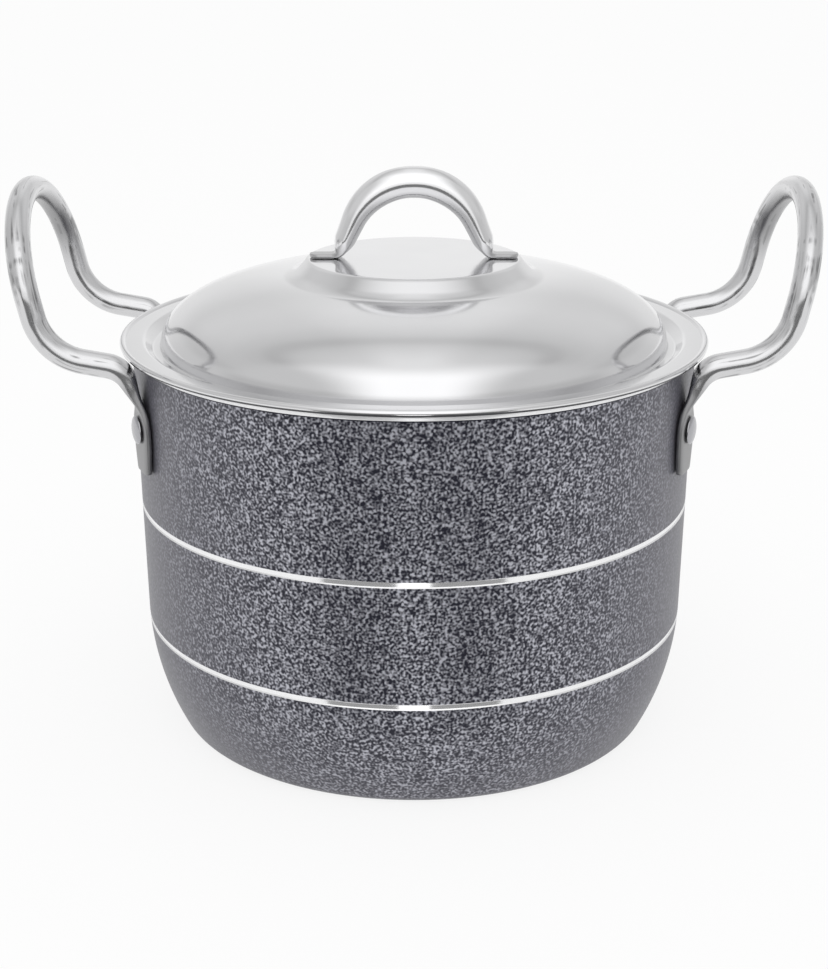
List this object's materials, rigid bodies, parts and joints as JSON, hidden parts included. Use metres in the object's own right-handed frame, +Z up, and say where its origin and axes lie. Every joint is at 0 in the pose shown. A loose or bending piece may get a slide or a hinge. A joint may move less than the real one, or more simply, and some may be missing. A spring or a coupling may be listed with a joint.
{
  "type": "handi cooking pot with lid",
  "caption": "Round-kneed painted aluminium cooking pot with bare turned rings, tall riveted rod loop handles and a loose domed steel lid with an arched tube handle.",
  "frame": {"origin": "middle of the flat base, on the surface the pot stands on", "axes": "+Z up along the pot's axis, +X through the right handle, -Y towards the viewer of the picture"},
  "size_m": [0.2812, 0.2106, 0.2037],
  "materials": {
    "pot_paint": "dark blue-grey hammertone paint outside, bare aluminium inside, on the rim and on the turned rings",
    "rod_steel": "polished stainless steel rod",
    "rivet_metal": "plain satin aluminium",
    "lid_steel": "mirror-polished stainless steel sheet",
    "arch_steel": "polished stainless steel tube"
  },
  "bodies": {
    "pot": {"pot_body": "pot_paint", "handle_left": "rod_steel", "handle_right": "rod_steel", "rivet_left_front": "rivet_metal", "rivet_left_rear": "rivet_metal", "rivet_right_front": "rivet_metal", "rivet_right_rear": "rivet_metal"},
    "cover": {"lid": "lid_steel", "lid_handle": "arch_steel"}
  },
  "joints": [
    {"name": "lid_lift", "type": "slide", "parent": "pot", "child": "cover", "axis": [0, 0, 1], "range_m": [0, 0.12]}
  ]
}
